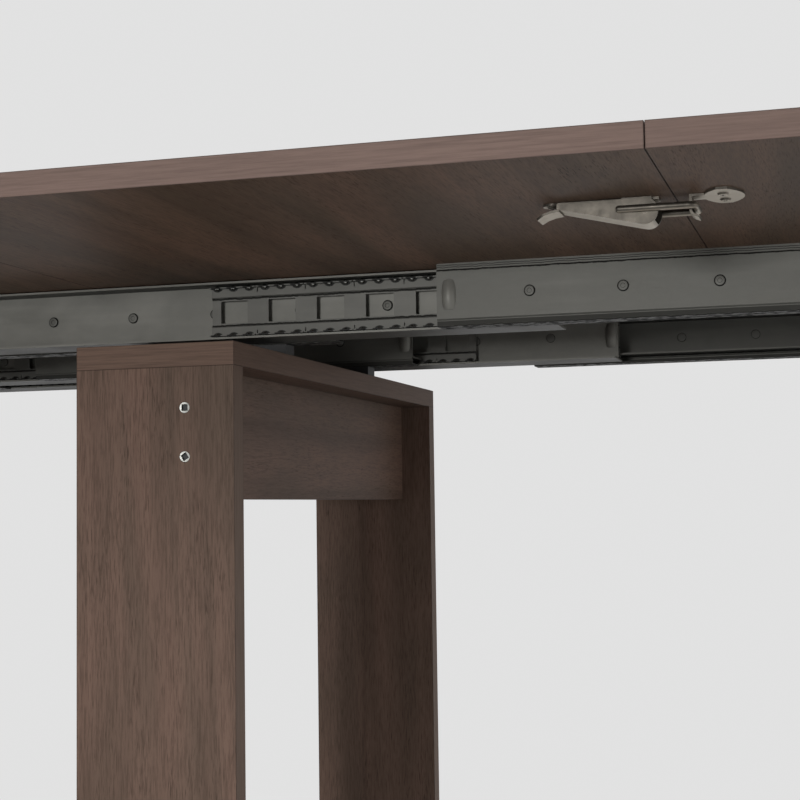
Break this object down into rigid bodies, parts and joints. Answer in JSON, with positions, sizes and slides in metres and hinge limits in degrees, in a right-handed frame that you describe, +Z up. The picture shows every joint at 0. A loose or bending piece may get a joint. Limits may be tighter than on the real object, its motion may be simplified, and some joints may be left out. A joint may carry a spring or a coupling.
{
  "type": "extending dining table",
  "caption": "Extending oval dining table: loose leaves and half-oval ends on ball-bearing slides over two board leg frames, with toggle latches.",
  "frame": {"origin": "on the floor under the centre of the table top", "axes": "+X along the table's length, +Y across it away from the near side, +Z up"},
  "size_m": [2.5, 1.14, 0.75],
  "materials": {
    "walnut_board": "satin walnut-effect board",
    "walnut_legs": "satin walnut-effect board, grain upright",
    "gunmetal_steel": "dark passivated steel, oiled",
    "cage_steel": "dark passivated steel strip",
    "ball_steel": "polished hard steel, lightly greased",
    "nickel_latch": "dull nickel plate",
    "zinc_screws": "bright zinc plate",
    "black_pads": "black hard plastic"
  },
  "bodies": {
    "base": {"centre_panel": "walnut_board", "right_frame_plate": "walnut_legs", "right_near_leg": "walnut_legs", "right_far_leg": "walnut_legs", "right_frame_rail": "walnut_legs", "right_base_channels": "gunmetal_steel", "right_base_rails": "gunmetal_steel", "left_frame_plate": "walnut_legs", "left_near_leg": "walnut_legs", "left_far_leg": "walnut_legs", "left_frame_rail": "walnut_legs", "left_base_channels": "gunmetal_steel", "left_base_rails": "gunmetal_steel", "frame_screws": "zinc_screws", "floor_glides": "black_pads", "channel_pads": "black_pads", "channel_bolts": "zinc_screws", "centre_panel_screws": "zinc_screws", "base_rivets": "gunmetal_steel"},
    "right_top": {"right_leaf_panel": "walnut_board", "right_end_panel": "walnut_board", "right_carrier_channels": "gunmetal_steel", "right_carrier_rails": "gunmetal_steel", "right_carrier_rivets": "gunmetal_steel", "right_panel_screws": "zinc_screws", "right_latch_bases": "nickel_latch", "right_strikes": "nickel_latch", "right_latch_screws": "zinc_screws"},
    "right_middle": {"right_middle_base_channels": "gunmetal_steel", "right_middle_carrier_channels": "gunmetal_steel", "right_middle_rivets": "gunmetal_steel"},
    "right_inner_cages": {"right_inner_cages": "cage_steel", "right_inner_balls": "ball_steel"},
    "right_outer_cages": {"right_outer_cages": "cage_steel", "right_outer_balls": "ball_steel"},
    "right_near_lever": {"right_near_lever": "nickel_latch"},
    "right_near_loop": {"right_near_loop": "nickel_latch"},
    "right_far_lever": {"right_far_lever": "nickel_latch"},
    "right_far_loop": {"right_far_loop": "nickel_latch"},
    "left_top": {"left_leaf_panel": "walnut_board", "left_end_panel": "walnut_board", "left_carrier_channels": "gunmetal_steel", "left_carrier_rails": "gunmetal_steel", "left_carrier_rivets": "gunmetal_steel", "left_panel_screws": "zinc_screws", "left_latch_bases": "nickel_latch", "left_strikes": "nickel_latch", "left_latch_screws": "zinc_screws"},
    "left_middle": {"left_middle_base_channels": "gunmetal_steel", "left_middle_carrier_channels": "gunmetal_steel", "left_middle_rivets": "gunmetal_steel"},
    "left_inner_cages": {"left_inner_cages": "cage_steel", "left_inner_balls": "ball_steel"},
    "left_outer_cages": {"left_outer_cages": "cage_steel", "left_outer_balls": "ball_steel"},
    "left_near_lever": {"left_near_lever": "nickel_latch"},
    "left_near_loop": {"left_near_loop": "nickel_latch"},
    "left_far_lever": {"left_far_lever": "nickel_latch"},
    "left_far_loop": {"left_far_loop": "nickel_latch"}
  },
  "joints": [
    {"name": "right_top_slide", "type": "slide", "parent": "base", "child": "right_top", "axis": [1, 0, 0], "range_m": [0, 0.42]},
    {"name": "right_middle_slide", "type": "slide", "parent": "base", "child": "right_middle", "axis": [1, 0, 0], "range_m": [0, 0.42]},
    {"name": "right_outer_cages_slide", "type": "slide", "parent": "base", "child": "right_outer_cages", "axis": [1, 0, 0], "range_m": [0, 0.42]},
    {"name": "right_inner_cages_slide", "type": "slide", "parent": "base", "child": "right_inner_cages", "axis": [1, 0, 0], "range_m": [0, 0.21]},
    {"name": "right_near_lever_hinge", "type": "hinge", "parent": "right_top", "child": "right_near_lever", "pos_m": [0.733, -0.434, 0.726], "axis": [0, -1, 0], "range_deg": [0, 90]},
    {"name": "right_near_loop_hinge", "type": "hinge", "parent": "right_near_lever", "child": "right_near_loop", "pos_m": [0.718, -0.434, 0.7275], "axis": [0, -1, 0], "range_deg": [-65, 0]},
    {"name": "right_far_lever_hinge", "type": "hinge", "parent": "right_top", "child": "right_far_lever", "pos_m": [0.733, 0.434, 0.726], "axis": [0, -1, 0], "range_deg": [0, 90]},
    {"name": "right_far_loop_hinge", "type": "hinge", "parent": "right_far_lever", "child": "right_far_loop", "pos_m": [0.718, 0.434, 0.7275], "axis": [0, -1, 0], "range_deg": [-65, 0]},
    {"name": "left_top_slide", "type": "slide", "parent": "base", "child": "left_top", "axis": [-1, 0, 0], "range_m": [0, 0.42]},
    {"name": "left_middle_slide", "type": "slide", "parent": "base", "child": "left_middle", "axis": [-1, 0, 0], "range_m": [0, 0.42]},
    {"name": "left_outer_cages_slide", "type": "slide", "parent": "base", "child": "left_outer_cages", "axis": [-1, 0, 0], "range_m": [0, 0.42]},
    {"name": "left_inner_cages_slide", "type": "slide", "parent": "base", "child": "left_inner_cages", "axis": [-1, 0, 0], "range_m": [0, 0.21]},
    {"name": "left_near_lever_hinge", "type": "hinge", "parent": "left_top", "child": "left_near_lever", "pos_m": [-0.733, -0.434, 0.726], "axis": [0, 1, 0], "range_deg": [0, 90]},
    {"name": "left_near_loop_hinge", "type": "hinge", "parent": "left_near_lever", "child": "left_near_loop", "pos_m": [-0.718, -0.434, 0.7275], "axis": [0, 1, 0], "range_deg": [-65, 0]},
    {"name": "left_far_lever_hinge", "type": "hinge", "parent": "left_top", "child": "left_far_lever", "pos_m": [-0.733, 0.434, 0.726], "axis": [0, 1, 0], "range_deg": [0, 90]},
    {"name": "left_far_loop_hinge", "type": "hinge", "parent": "left_far_lever", "child": "left_far_loop", "pos_m": [-0.718, 0.434, 0.7275], "axis": [0, 1, 0], "range_deg": [-65, 0]}
  ],
  "couplings": [
    {"joint": "right_middle_slide", "follows": "right_top_slide", "ratio": 1},
    {"joint": "right_outer_cages_slide", "follows": "right_top_slide", "ratio": 1},
    {"joint": "right_inner_cages_slide", "follows": "right_top_slide", "ratio": 0.5},
    {"joint": "right_near_loop_hinge", "follows": "right_near_lever_hinge", "ratio": -0.72},
    {"joint": "right_far_loop_hinge", "follows": "right_far_lever_hinge", "ratio": -0.72},
    {"joint": "left_middle_slide", "follows": "left_top_slide", "ratio": 1},
    {"joint": "left_outer_cages_slide", "follows": "left_top_slide", "ratio": 1},
    {"joint": "left_inner_cages_slide", "follows": "left_top_slide", "ratio": 0.5},
    {"joint": "left_near_loop_hinge", "follows": "left_near_lever_hinge", "ratio": -0.72},
    {"joint": "left_far_loop_hinge", "follows": "left_far_lever_hinge", "ratio": -0.72}
  ]
}
